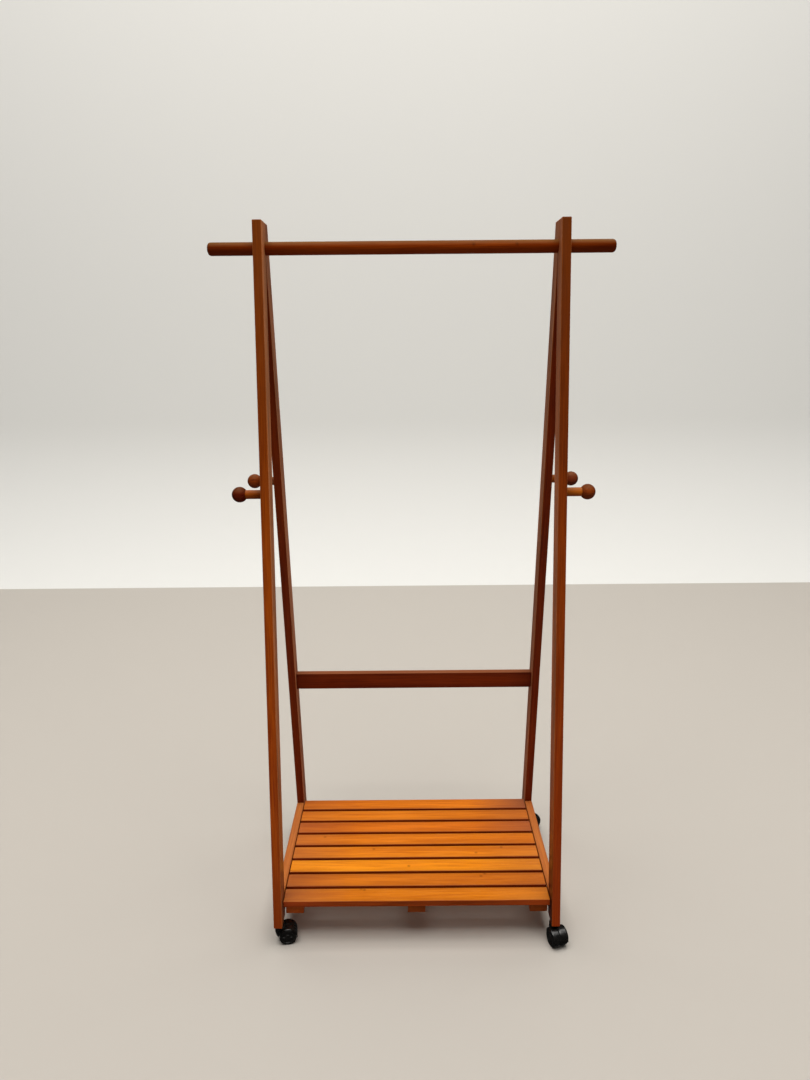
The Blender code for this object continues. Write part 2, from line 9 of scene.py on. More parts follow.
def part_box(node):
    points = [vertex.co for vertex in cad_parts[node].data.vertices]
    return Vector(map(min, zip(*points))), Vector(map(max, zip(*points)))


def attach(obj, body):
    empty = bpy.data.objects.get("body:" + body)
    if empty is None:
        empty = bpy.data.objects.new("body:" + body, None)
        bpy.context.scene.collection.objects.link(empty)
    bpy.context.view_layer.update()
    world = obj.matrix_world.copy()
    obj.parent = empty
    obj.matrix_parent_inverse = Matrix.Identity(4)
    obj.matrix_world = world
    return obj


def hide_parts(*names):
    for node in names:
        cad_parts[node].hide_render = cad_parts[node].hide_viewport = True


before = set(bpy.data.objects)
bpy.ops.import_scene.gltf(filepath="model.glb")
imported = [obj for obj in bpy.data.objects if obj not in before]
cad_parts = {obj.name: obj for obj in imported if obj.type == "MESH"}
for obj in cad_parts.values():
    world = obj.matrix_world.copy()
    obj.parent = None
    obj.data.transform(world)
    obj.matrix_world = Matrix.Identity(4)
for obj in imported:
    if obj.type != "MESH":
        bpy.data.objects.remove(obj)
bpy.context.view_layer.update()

# The camera. It stands 1.8 m in front of the rack at chin height and looks down at it a little.
# Its place and its lens come from a fit of the rack's edges in the photograph.
CAMERA_PLACE = (-0.0182, -1.7738, 1.3849)
CAMERA_PITCH = math.radians(14.15)
CAMERA_ROLL = math.radians(0.508)
CAMERA_YAW = math.radians(-0.068)
LONG_SIDE_MM = 36.0
LENS_MM = 25.5

camera = bpy.data.objects.new("camera", bpy.data.cameras.new("camera"))
bpy.context.scene.collection.objects.link(camera)
camera.data.sensor_width = LONG_SIDE_MM
camera.data.lens = LENS_MM
heading = Matrix.Rotation(-CAMERA_YAW, 4, "Z") @ Matrix.Rotation(math.pi / 2 - CAMERA_PITCH, 4, "X")
camera.matrix_world = Matrix.Translation(CAMERA_PLACE) @ heading @ Matrix.Rotation(-CAMERA_ROLL, 4, "Z")
bpy.context.scene.camera = camera

# The room. A pale floor runs back to a pale wall through a cove, and both are stage, not rack.
# One broad softbox hangs overhead and a weak one stands in front, as the photograph's daylight does.
FLOOR_HALF_WIDTH = 9.0
FLOOR_FRONT = -9.0
COVE_START = 2.6
COVE_RADIUS = 0.9
COVE_STEPS = 16
WALL_TOP = 6.0
FLOOR_TONE = (0.50, 0.47, 0.43)
WALL_TONE = (0.62, 0.62, 0.60)
WALL_GLOW = 0.26
SKY_SEEN = (0.60, 0.61, 0.60)
SKY_LIGHT = 0.05


def add(tree, kind, inputs=None, out=0, **settings):
    """Adds a shader node, sets or links its inputs by name or number, and returns one of its outputs."""
    node = tree.nodes.new(kind)
    for name, value in settings.items():
        setattr(node, name, value)
    for name, value in (inputs or {}).items():
        if isinstance(value, bpy.types.NodeSocket):
            tree.links.new(value, node.inputs[name])
        else:
            node.inputs[name].default_value = value
    return node.outputs[out]


def blank_finish(name):
    """A new material, its node tree and its surface node."""
    finish = bpy.data.materials.new(name)
    finish.use_nodes = True
    return finish, finish.node_tree, finish.node_tree.nodes["Principled BSDF"]


def place_piece(name, mesh, finish=None, at=None):
    """Puts a mesh in the scene as a named piece, with its finish and its place."""
    piece = bpy.data.objects.new(name, mesh)
    bpy.context.scene.collection.objects.link(piece)
    if finish:
        mesh.materials.append(finish)
    if at is not None:
        piece.matrix_world = at
    return piece


def sweep(name, path, tone, glow):
    """A sheet drawn out sideways from a path of (y, z)."""
    form = bmesh.new()
    rows = [[form.verts.new((x, y, z)) for x in (-FLOOR_HALF_WIDTH, FLOOR_HALF_WIDTH)] for y, z in path]
    for near, far in zip(rows, rows[1:]):
        form.faces.new([near[0], near[1], far[1], far[0]])
    mesh = bpy.data.meshes.new(name)
    form.to_mesh(mesh)
    form.free()
    mesh.shade_smooth()
    finish, tree, paint = blank_finish(name)
    paint.inputs["Base Color"].default_value = (*tone, 1)
    paint.inputs["Roughness"].default_value = 0.9
    paint.inputs["Specular IOR Level"].default_value = 0.0
    paint.inputs["Emission Color"].default_value = (*tone, 1)
    paint.inputs["Emission Strength"].default_value = glow
    sheet = place_piece(name, mesh, finish)
    return sheet


def softbox(name, place, target, width, height, power, tint, in_gloss):
    """A rectangular lamp of so many watts, turned to its target. Its mirror image shows in gloss, or not."""
    lamp = bpy.data.lights.new(name, "AREA")
    lamp.shape = "RECTANGLE"
    lamp.size = width
    lamp.size_y = height
    lamp.energy = power
    lamp.color = tint
    box = bpy.data.objects.new(name, lamp)
    bpy.context.scene.collection.objects.link(box)
    box.location = place
    box.rotation_euler = (Vector(target) - Vector(place)).to_track_quat("-Z", "Y").to_euler()
    box.visible_glossy = in_gloss


cove_angles = [math.pi / 2 * i / COVE_STEPS for i in range(COVE_STEPS + 1)]
cove = [(COVE_START + COVE_RADIUS * math.sin(a), COVE_RADIUS * (1 - math.cos(a))) for a in cove_angles]
floor = sweep("studio_floor", [(FLOOR_FRONT, 0), (COVE_START, 0)], FLOOR_TONE, 0)
wall = sweep("studio_wall", [*cove, (COVE_START + COVE_RADIUS, WALL_TOP)], WALL_TONE, WALL_GLOW)
floor.visible_glossy = wall.visible_glossy = False
softbox(
    "overhead_softbox", place=(0, -0.7, 8.0), target=(0, 0, 0), width=7.5, height=6.8, power=890,
    tint=(1.0, 0.97, 0.93), in_gloss=True,
)
softbox(
    "front_softbox", place=(0.3, -4.2, 0.9), target=(0, 0, 0.6), width=3.0, height=1.6, power=15,
    tint=(1.0, 0.95, 0.88), in_gloss=False,
)

sky = bpy.data.worlds.new("sky")
bpy.context.scene.world = sky
sky.use_nodes = True
sky_tree = sky.node_tree
seen = add(sky_tree, "ShaderNodeLightPath", out="Is Camera Ray")
strength = add(sky_tree, "ShaderNodeMapRange", {"Value": seen, "To Min": SKY_LIGHT, "To Max": 1.0})
sky_tree.nodes["Background"].inputs["Color"].default_value = (*SKY_SEEN, 1)
sky_tree.links.new(strength, sky_tree.nodes["Background"].inputs["Strength"])
bpy.context.scene.view_settings.view_transform = "Standard"

# The four legs. Planed beech bars 48 by 20 mm with eased edges, stained red-brown and lacquered.
# Each pair leans together and meets in a mitre, with the tops cut level after gluing.
# Every leg has its own stain, the rear legs' darker as painted shade for the lesser light at the back. Its long
# sides take a painted sheen, and its foot and top take painted shade in tones of their own, greyer with a painted
# sheen at the front legs' tops.
LEG_TILT = math.radians(7.3)
LEG_STAINS_AND_SHADE = {
    "left_front_leg": {"pale": (0.50, 0.088, 0.0022), "deep": (0.270, 0.034, 0.0011)},
    "right_front_leg": {"pale": (0.40, 0.058, 0.0018), "deep": (0.205, 0.021, 0.0009)},
    "left_rear_leg": {"pale": (0.21, 0.024, 0.0009), "deep": (0.115, 0.009, 0.0005)},
    "right_rear_leg": {"pale": (0.21, 0.022, 0.0008), "deep": (0.115, 0.008, 0.0004)},
}
# Long sides: tone of their painted sheen, share of painted shade low on the inward side, and which way is inwards.
LEG_SIDE_SHEEN_AND_SHADE = {
    "left_front_leg": ((0.60, 0.215, 0.078), 0.60, 1),
    "right_front_leg": ((0.46, 0.150, 0.058), 0.95, -1),
    "left_rear_leg": ((0.50, 0.185, 0.085), 0.0, 1),
    "right_rear_leg": ((0.42, 0.160, 0.075), 0.0, -1),
}
# Feet: share of painted shade, where it starts along the leg, and its tone.
LEG_FOOT_SHADES = {
    "left_front_leg": (0.80, 0.60, (0.19, 0.021, 0.0006)),
    "right_front_leg": (0.60, 0.2, (0.25, 0.021, 0.0006)),
    "left_rear_leg": (0.0, 0.8, None),
    "right_rear_leg": (0.0, 0.8, None),
}
# Tops: painted shade, greyer at the front legs' tops with a painted sheen.
LEG_TOP_SHADE_AND_SHEEN = {"front": (0.72, -0.5, (0.108, 0.030, 0.0050)), "rear": (0.25, -0.5, None)}
LEG_HALF = 0.82
LEG_SECTION = (0.010, 0.024)
LEG_SEED = 10
RUBBED_EDGE = (0.38, 0.090, 0.004)
LACQUER_TINT = (1.0, 0.74, 0.48)
RING_WIDTH = 0.0042
HEART_DISTANCE = 0.055
KNOT_HEART = 0.0010
KNOT_REACH = 0.0055
# Painted shade towards both ends of the other bars.
PLAIN_END_SHADE = (0.35, 0.8, None)


def math_node(tree, operation, *values):
    """One sum in a material, of which each value is a socket or a number."""
    return add(tree, "ShaderNodeMath", dict(enumerate(values)), operation=operation)


def vector_node(tree, operation, *values, out=0):
    """One vector sum in a material, of which each value is a socket or three numbers."""
    return add(tree, "ShaderNodeVectorMath", dict(enumerate(values)), out=out, operation=operation)


def ramp(tree, value, low, high, to_low=0.0, to_high=1.0):
    """Turns a value between low and high into one between to_low and to_high, clamped at both."""
    levels = {"Value": value, "From Min": low, "From Max": high, "To Min": to_low, "To Max": to_high}
    return add(tree, "ShaderNodeMapRange", levels)


def axis_of(tree, vector, axis):
    """The X, Y or Z of a vector in a material."""
    return add(tree, "ShaderNodeSeparateXYZ", {"Vector": vector}, out=axis)


def cloud(tree, spot, scales, detail, out="Fac"):
    """Noise whose grains are 1/scale metres long along each axis."""
    stretched = vector_node(tree, "MULTIPLY", spot, scales)
    return add(tree, "ShaderNodeTexNoise", {"Vector": stretched, "Scale": 1.0, "Detail": detail}, out=out)


def blended(tree, share, low, high):
    """Mixes two colours, of which each is a socket or three numbers."""
    node = tree.nodes.new("ShaderNodeMix")
    node.data_type = "RGBA"
    for socket, value in ((node.inputs[0], share), (node.inputs[6], low), (node.inputs[7], high)):
        if isinstance(value, bpy.types.NodeSocket):
            tree.links.new(value, socket)
        else:
            socket.default_value = (*value, 1) if isinstance(value, tuple) else value
    return node.outputs[2]


def stained_beech(name, stain, centre, grain, seed, half=None, section=None, ends=(PLAIN_END_SHADE, PLAIN_END_SHADE), edge=None,
                  edge_share=1.0, side=None, film=None, underside_shade=0.0, knots=(), gloss=0.36, shine=0.22):
    """Beech in its stain and satin lacquer. The figure runs along the grain of a bar with its middle at centre.
    Half is half its length, and section half its thickness and half its depth. Each of its ends takes a share of a
    colour, or of the dark tone, from a part of the half length onwards, as painted shade, greyer with a painted sheen
    at the slats' ends and the front legs' tops. Edge is the colour of its eased edges, wear on the frame and painted
    shade on the slats, and its share is how much of it shows. Side is the colour of its long sides, a painted sheen
    on the legs and painted shade on the slats, with the share of painted shade at the foot of the side that looks
    inwards and the way inwards along X. Film is the share and the colour of a painted sheen on what faces up, and the
    underside share is how much painted shade darkens what faces down."""
    finish, tree, wood = blank_finish(name)
    lengthwise = Vector(grain)
    across = Vector((0, 1, 0)) if abs(grain[0]) > 0.5 else Vector((1, 0, 0))
    turn = Matrix((lengthwise, across, lengthwise.cross(across)))
    angles = turn.to_euler()
    draw = random.Random(seed)
    along = draw.uniform(1, 9)
    shift = Vector((along, 0, 0)) - turn @ Vector(centre)
    heart_angle = draw.uniform(0, 2 * math.pi)
    heart = (0, HEART_DISTANCE * math.cos(heart_angle), HEART_DISTANCE * math.sin(heart_angle))
    place = add(tree, "ShaderNodeTexCoord", out="Object")
    spot = add(tree, "ShaderNodeMapping", {"Vector": place, "Rotation": angles, "Location": shift})

    # Year rings round a wandering heart, then fibres, pores and slow clouds of tone
    sway = vector_node(tree, "SUBTRACT", cloud(tree, spot, (1.4, 7, 7), 2, "Color"), (0.5, 0.5, 0.5))
    sway = vector_node(tree, "MULTIPLY", sway, (0, 0.03, 0.03))
    bent = vector_node(tree, "MULTIPLY", vector_node(tree, "ADD", spot, sway), (0, 1, 1))
    reach = vector_node(tree, "LENGTH", vector_node(tree, "SUBTRACT", bent, heart), out="Value")
    ring = math_node(tree, "PINGPONG", math_node(tree, "DIVIDE", reach, RING_WIDTH), 0.5)
    late = math_node(tree, "POWER", math_node(tree, "MULTIPLY", ring, 2.0), 2.5)
    fibre = cloud(tree, spot, (14, 380, 380), 3)
    pores = ramp(tree, cloud(tree, spot, (120, 1700, 1700), 1), 0.58, 0.70)
    clouds = cloud(tree, spot, (2.6, 38, 38), 3)
    tone = ramp(tree, clouds, 0.30, 0.66, 0.15, 1.0)
    tone = math_node(tree, "ADD", tone, ramp(tree, fibre, 0.3, 0.7, -0.28, 0.28))
    tone = math_node(tree, "ADD", tone, ramp(tree, cloud(tree, spot, (8, 210, 210), 2), 0.3, 0.7, -0.26, 0.26))
    tone = math_node(tree, "SUBTRACT", tone, math_node(tree, "MULTIPLY", late, 0.30))
    tone = math_node(tree, "SUBTRACT", tone, math_node(tree, "MULTIPLY", pores, 0.25))
    figure = math_node(tree, "MINIMUM", math_node(tree, "MAXIMUM", tone, 0.0), 1.0)
    colour = blended(tree, figure, stain["deep"], stain["pale"])
    dark = tuple(0.4 * c for c in stain["deep"])

    # The middle of each face is palest, painted shade of the rounded faces with stain gathered at the edges. Painted
    # shade darkens both ends, stain sinks into the end grain and circles each knot
    if section:
        off_axis = []
        for axis, half_size in zip("YZ", section):
            beyond = math_node(tree, "ABSOLUTE", axis_of(tree, spot, axis))
            off_axis.append(math_node(tree, "DIVIDE", beyond, half_size))
        crown_shade_and_stain = math_node(tree, "POWER", math_node(tree, "MINIMUM", *off_axis), 2.0)
        colour = blended(tree, math_node(tree, "MULTIPLY", crown_shade_and_stain, 0.33), colour, dark)
    if half:
        distance = math_node(tree, "DIVIDE", math_node(tree, "SUBTRACT", axis_of(tree, spot, "X"), along), half)
        for way, (share, start, end_shade_tone) in zip((-1, 1), ends):
            end_shade = ramp(tree, distance, way * start, way, 0, share)
            colour = blended(tree, end_shade, colour, end_shade_tone or dark)
    outward = add(tree, "ShaderNodeTexCoord", out="Normal")
    normal = add(tree, "ShaderNodeMapping", {"Vector": outward, "Rotation": angles}, vector_type="VECTOR")
    normal = vector_node(tree, "ABSOLUTE", normal)
    lengthways = axis_of(tree, normal, "X")
    colour = blended(tree, ramp(tree, lengthways, 0.60, 0.92, 0, 0.65), colour, dark)
    for knot in knots:
        off = vector_node(tree, "SUBTRACT", place, knot)
        spread = vector_node(tree, "LENGTH", off, out="Value")
        darkened = ramp(tree, spread, KNOT_HEART, KNOT_REACH, 0.5, 0)
        colour = blended(tree, darkened, colour, tuple(0.5 * c for c in dark))

    # Long sides take a painted sheen on the legs and painted shade on the slats, with painted shade low on the legs'
    # inward sides. Eased edges show wear on the frame and painted shade on the slats, what faces up takes a painted
    # sheen, and what faces down takes painted shade
    if side:
        painted_side_tone, share, inwards = side
        painted_side = blended(tree, figure, tuple(0.60 * c for c in painted_side_tone), tuple(1.2 * c for c in painted_side_tone))
        looks_inwards = ramp(tree, math_node(tree, "MULTIPLY", axis_of(tree, outward, "X"), inwards), 0.3, 0.8)
        foot_shade = ramp(tree, distance, -0.45, -0.8, 0, share)
        painted_side = blended(tree, math_node(tree, "MULTIPLY", looks_inwards, foot_shade), painted_side, dark)
        colour = blended(tree, ramp(tree, axis_of(tree, normal, "Y"), 0.3, 0.8, 0, 0.9), colour, painted_side)
    if edge:
        widest = lengthways
        for axis in "YZ":
            widest = math_node(tree, "MAXIMUM", widest, axis_of(tree, normal, axis))
        uneven = ramp(tree, cloud(tree, spot, (9, 60, 60), 2), 0.42, 0.62, 0.5, 1.0)
        edge_wear_and_shade = math_node(tree, "MULTIPLY", ramp(tree, widest, 0.992, 0.90, 0, edge_share), uneven)
        edge_wear_and_shade = math_node(tree, "MULTIPLY", edge_wear_and_shade, ramp(tree, lengthways, 0.5, 0.2))
        colour = blended(tree, edge_wear_and_shade, colour, edge)
    # A painted sheen on what faces up.
    if film:
        facing = add(tree, "ShaderNodeNewGeometry", out="Normal")
        share, sheen_tone = film
        top_sheen = ramp(tree, axis_of(tree, facing, "Z"), 0.15, 0.95, 0, share)
        top_sheen = math_node(tree, "MULTIPLY", top_sheen, ramp(tree, clouds, 0.3, 0.7, 0.7, 1.0))
        colour = blended(tree, top_sheen, colour, sheen_tone)
    # Painted shade on what faces down.
    if underside_shade:
        facing = add(tree, "ShaderNodeNewGeometry", out="Normal")
        colour = blended(tree, ramp(tree, axis_of(tree, facing, "Z"), 0.1, -0.7, 0, underside_shade), colour, dark)
    tree.links.new(colour, wood.inputs["Base Color"])

    scuffs = ramp(tree, cloud(tree, spot, (22, 70, 70), 3), 0.35, 0.7, gloss - 0.05, gloss + 0.11)
    tree.links.new(scuffs, wood.inputs["Roughness"])
    wood.inputs["Specular IOR Level"].default_value = shine
    wood.inputs["Specular Tint"].default_value = (*LACQUER_TINT, 1)
    height = math_node(tree, "SUBTRACT", fibre, math_node(tree, "MULTIPLY", pores, 0.6))
    bump = add(tree, "ShaderNodeBump", {"Height": height, "Strength": 0.25, "Distance": 0.0003})
    tree.links.new(bump, wood.inputs["Normal"])
    return finish


def dress(node, finish):
    """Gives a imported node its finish, by its object's material slot."""
    for material_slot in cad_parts[node].material_slots:
        material_slot.material = finish


def middle(node):
    """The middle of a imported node's box."""
    low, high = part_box(node)
    return (low + high) / 2


SIDES = {"left": -1, "right": 1}
ENDS = {"front": -1, "rear": 1}

seed = LEG_SEED
for side in SIDES:
    for end, sy in ENDS.items():
        leg = f"{side}_{end}_leg"
        grain = (0, -sy * math.sin(LEG_TILT), math.cos(LEG_TILT))
        foot = middle(f"{side}_{end}_caster_stem")
        rise = middle(leg).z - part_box(leg)[0].z
        centre = foot + Vector((0, -sy * rise * math.tan(LEG_TILT), middle(leg).z - foot.z))
        dress(leg, stained_beech(
            f"{leg}_beech", LEG_STAINS_AND_SHADE[leg], centre, grain, seed, LEG_HALF, LEG_SECTION,
            ends=(LEG_FOOT_SHADES[leg], LEG_TOP_SHADE_AND_SHEEN[end]), edge=RUBBED_EDGE, edge_share=0.5, side=LEG_SIDE_SHEEN_AND_SHADE[leg],
        ))
        seed += 1

# The two bottom rails. The same bar on edge between the legs of each side, with a stub tenon in each leg.
# Their tops lie level with the shelf and take a little painted sheen.
BOTTOM_RAIL_STAIN = {"pale": (0.54, 0.155, 0.014), "deep": (0.34, 0.072, 0.005)}
BOTTOM_RAIL_TOP_SHEEN = (0.4, (0.45, 0.155, 0.062))
BOTTOM_RAIL_HALF = 0.22
BOTTOM_RAIL_SECTION = (0.010, 0.0225)
for side in SIDES:
    rail = f"{side}_bottom_rail"
    dress(rail, stained_beech(
        f"{rail}_beech", BOTTOM_RAIL_STAIN, middle(rail), (0, 1, 0), seed, BOTTOM_RAIL_HALF, BOTTOM_RAIL_SECTION,
        edge=RUBBED_EDGE, film=BOTTOM_RAIL_TOP_SHEEN,
    ))
    seed += 1

# The rear crossbar. A bar on edge between the rear legs, in the darkest and reddest stain of the frame.
# A connecting screw through each leg holds it.
CROSSBAR_STAIN = {"pale": (0.20, 0.021, 0.0009), "deep": (0.12, 0.009, 0.0005)}
# A painted sheen on the crossbar's top.
CROSSBAR_TOP_SHEEN = (0.7, (0.29, 0.105, 0.042))
CROSSBAR_HALF = 0.32
CROSSBAR_SECTION = (0.010, 0.022)
CROSSBAR_SEED = 31
dress("rear_crossbar", stained_beech(
    "crossbar_beech", CROSSBAR_STAIN, middle("rear_crossbar"), (1, 0, 0), CROSSBAR_SEED, CROSSBAR_HALF,
    CROSSBAR_SECTION, film=CROSSBAR_TOP_SHEEN,
))

# The hanging rail. A 28 mm dowel through both pairs of legs, its ends rounded over on the lathe.
# A painted sheen lies on its top, painted shade below and at its ends, and two small knots show in its right half.
RAIL_STAIN = {"pale": (0.28, 0.043, 0.0012), "deep": (0.165, 0.018, 0.0006)}
RAIL_TOP_SHEEN = (0.85, (0.150, 0.078, 0.016))
RAIL_END_SHADES = ((0.45, 0.4, None), (0.45, 0.4, None))
RAIL_KNOTS = ((0.134, -0.013, 1.600), (0.228, -0.013, 1.600))
RAIL_SEED = 41
RAIL_HALF = 0.445
RAIL_RADIUS = 0.014
RAIL_END_ROUNDING = 0.0075
RAIL_FACETS = 72
ROUNDING_STEPS = 6
SHARP_EDGE = math.radians(32)


def quarter_round(radius, start):
    """Points on a quarter circle of this radius round (0, 0), from the start angle in degrees onwards."""
    angles = (math.radians(start + 90 * i / ROUNDING_STEPS) for i in range(ROUNDING_STEPS + 1))
    return [(radius * math.cos(a), radius * math.sin(a)) for a in angles]


def turned(name, outline, facets, closed=False):
    """A mesh turned round Z on the lathe, from an outline of (radius, height)."""
    form = bmesh.new()
    rows = []
    for radius, height in outline:
        count = facets if radius > 0 else 1
        angles = (2 * math.pi * i / facets for i in range(count))
        rows.append([form.verts.new((radius * math.cos(a), radius * math.sin(a), height)) for a in angles])
    for low, high in zip(rows, rows[1:] + (rows[:1] if closed else [])):
        for i in range(facets):
            j = (i + 1) % facets
            corners = [low[i % len(low)], low[j % len(low)], high[j % len(high)], high[i % len(high)]]
            form.faces.new(list(dict.fromkeys(corners)))
    return finished_mesh(name, form)


def finished_mesh(name, form):
    """Closes a form off as a mesh with its faces outwards, smooth but for edges over the sharp angle."""
    bmesh.ops.recalc_face_normals(form, faces=form.faces)
    mesh = bpy.data.meshes.new(name)
    form.to_mesh(mesh)
    form.free()
    mesh.shade_smooth()
    mesh.set_sharp_from_angle(angle=SHARP_EDGE)
    return mesh


def aimed(direction, place):
    """The matrix that takes a piece's own Z to a direction and its origin to a place."""
    return Matrix.Translation(place) @ Vector(direction).to_track_quat("Z", "Y").to_matrix().to_4x4()


low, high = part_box("hanging_rail")
half_rail = (high.x - low.x) / 2 - RAIL_END_ROUNDING
flat = RAIL_RADIUS - RAIL_END_ROUNDING
outline = [(0, -half_rail - RAIL_END_ROUNDING)]
outline += [(flat + r, h - half_rail) for r, h in quarter_round(RAIL_END_ROUNDING, -90)]
outline += [(flat + r, h + half_rail) for r, h in quarter_round(RAIL_END_ROUNDING, 0)]
outline += [(0, half_rail + RAIL_END_ROUNDING)]
rail_mesh = turned("turned_hanging_rail", outline, RAIL_FACETS)
rail_place = aimed((1, 0, 0), middle("hanging_rail"))
rail_knots = [rail_place.inverted() @ Vector(knot) for knot in RAIL_KNOTS]
rail_beech = stained_beech(
    "rail_beech", RAIL_STAIN, (0, 0, 0), (0, 0, 1), RAIL_SEED, RAIL_HALF, ends=RAIL_END_SHADES, film=RAIL_TOP_SHEEN,
    underside_shade=0.7, knots=rail_knots, gloss=0.5, shine=0.05,
)
hanging_rail = place_piece("turned_hanging_rail", rail_mesh, rail_beech, rail_place)
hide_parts("hanging_rail")
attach(hanging_rail, "frame")

# The shelf's eight slats. Beech planed to 45.5 by 15 mm, in a brighter orange stain than the frame.
# Each was cut from another board, so each has its own tone; slat_3 is the palest and most golden.
# Their long edges and front and back sides take painted shade, with stain gathered at the edges, and their ends a
# painted shade in a dull tone with a painted sheen; each slat's own tone is (red, green, share of painted shade at
# the left end, at the right end).
SLAT_STAIN = {"pale": (0.86, 0.250, 0.0080), "deep": (0.58, 0.136, 0.0030)}
SLAT_HALF = 0.317
SLAT_SECTION = (0.02275, 0.0075)
SLAT_SEED = 50
# Painted shade on the slats' eased long edges and on their front and back sides, and the dull tone and start of the
# painted shade and sheen at their ends.
SLAT_EDGE_SHADE = (0.20, 0.024, 0.0014)
SLAT_SIDE_SHADE = ((0.28, 0.028, 0.0012), 0.0, 1)
SLAT_END_SHADE_AND_SHEEN = (0.25, 0.076, 0.039)
SLAT_END_SHADE_START = 0.5
SLAT_TONES = {
    1: (0.87, 0.90, 0.61, 0.26),
    2: (0.75, 0.69, 0.42, 0.24),
    3: (1.11, 1.28, 0.11, 0.35),
    4: (0.99, 1.01, 0.47, 0.39),
    5: (0.94, 0.91, 0.44, 0.20),
    6: (0.88, 0.74, 0.47, 0.67),
    7: (0.91, 0.86, 0.23, 0.40),
    8: (0.95, 0.89, 0.28, 0.85),
}
SLAT_KNOTS = {
    1: [(-0.126, -0.183), (-0.1345, -0.179)],
    2: [(0.161, -0.136), (0.171, -0.127)],
    3: [(-0.018, -0.096)],
    4: [(0.157, -0.045), (0.225, -0.0235), (-0.109, -0.0275)],
    5: [(-0.242, 0.025)],
}
for number, (red, green, left_end_shade, right_end_shade) in SLAT_TONES.items():
    slat = f"slat_{number}"
    stain = {key: (red * c[0], green * c[1], c[2]) for key, c in SLAT_STAIN.items()}
    marks = [(x, y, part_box(slat)[1].z) for x, y in SLAT_KNOTS.get(number, ())]
    dress(slat, stained_beech(
        f"{slat}_beech", stain, middle(slat), (1, 0, 0), SLAT_SEED + number, SLAT_HALF, SLAT_SECTION,
        ends=[(share, SLAT_END_SHADE_START, SLAT_END_SHADE_AND_SHEEN) for share in (left_end_shade, right_end_shade)],
        edge=SLAT_EDGE_SHADE, side=SLAT_SIDE_SHADE, knots=marks, gloss=0.33,
    ))

# The three bearers under the slats. Stained bars on their flat, which the slats are screwed to from below.
# Connecting screws hold the two outer ones to the bottom rails.
BEARER_STAIN = {"pale": (0.54, 0.115, 0.006), "deep": (0.32, 0.048, 0.0022)}
BEARER_TONES = {"left_bearer": 1.5, "centre_bearer": 1.05, "right_bearer": 1.0}
BEARER_HALF = 0.206
BEARER_SECTION = (0.021, 0.010)
for bearer, bearer_tone in BEARER_TONES.items():
    stain = {key: tuple(bearer_tone * c for c in colour) for key, colour in BEARER_STAIN.items()}
    dress(bearer, stained_beech(
        f"{bearer}_beech", stain, middle(bearer), (0, 1, 0), seed, BEARER_HALF, BEARER_SECTION,
    ))
    seed += 1

# The screws. Bright zinc-plated steel: connecting screws with a hexagon socket, let in flush with the wood,
# a sunk wood screw behind each end of the hanging rail, and pan heads under the bearers, one for each slat.
SCREW_FACETS = 48
CONNECTOR_HEAD_RADIUS = 0.005
CONNECTOR_HEAD_HEIGHT = 0.003
CONNECTOR_SHANK_RADIUS = 0.00325
CONNECTOR_LENGTH = 0.050
CONNECTOR_POINT = 0.003
SOCKET_RADIUS = 0.0023
SOCKET_DEPTH = 0.0022
CROSS_ARM = 0.0023
CROSS_HALF_WIDTH = 0.00055
CROSS_DEPTH = 0.0016


def zinc_plate(name):
    """Steel with a bright zinc plate: a fine broken brushing and darker bloom in patches."""
    finish, tree, steel = blank_finish(name)
    spot = add(tree, "ShaderNodeTexCoord", out="Object")
    bloom = cloud(tree, spot, (240, 240, 240), 3)
    colour = blended(tree, ramp(tree, bloom, 0.35, 0.7), (0.60, 0.60, 0.61), (0.38, 0.37, 0.36))
    tree.links.new(colour, steel.inputs["Base Color"])
    steel.inputs["Metallic"].default_value = 1.0
    brushing = cloud(tree, spot, (500, 500, 6000), 2)
    tree.links.new(ramp(tree, brushing, 0.3, 0.7, 0.24, 0.42), steel.inputs["Roughness"])
    bump = add(tree, "ShaderNodeBump", {"Height": brushing, "Strength": 0.15, "Distance": 0.0001})
    tree.links.new(bump, steel.inputs["Normal"])
    return finish


zinc = zinc_plate("zinc_plated_steel")


def six_sided(radius, angle):
    """The distance to the side of a hexagon with this corner radius, at an angle."""
    step = math.pi / 3
    return radius * math.cos(step / 2) / math.cos(angle % step - step / 2)


def skinned(name, form, rows):
    """Closes a form off with walls between its rows of points and a cap on the first and the last row."""
    for near, far in zip(rows, rows[1:]):
        for i in range(len(near)):
            j = (i + 1) % len(near)
            form.faces.new([near[i], near[j], far[j], far[i]])
    form.faces.new(rows[0])
    form.faces.new(rows[-1])
    return finished_mesh(name, form)


def connector_mesh(name):
    """A connecting screw from its socket down its shank, along +Z from its flush head."""
    form = bmesh.new()
    head, shank = CONNECTOR_HEAD_RADIUS, CONNECTOR_SHANK_RADIUS
    levels = [
        (SOCKET_RADIUS, SOCKET_DEPTH, True), (SOCKET_RADIUS, 0.0, True), (head - 0.0006, 0.0, False),
        (head, 0.0005, False), (head, CONNECTOR_HEAD_HEIGHT, False), (shank, CONNECTOR_HEAD_HEIGHT, False),
        (shank, CONNECTOR_LENGTH - CONNECTOR_POINT, False), (shank * 0.5, CONNECTOR_LENGTH, False),
    ]
    rows = []
    for radius, height, six in levels:
        row = []
        for i in range(SCREW_FACETS):
            a = 2 * math.pi * i / SCREW_FACETS
            r = six_sided(radius, a) if six else radius
            row.append(form.verts.new((r * math.cos(a), r * math.sin(a), height)))
        rows.append(row)
    return skinned(name, form, rows)


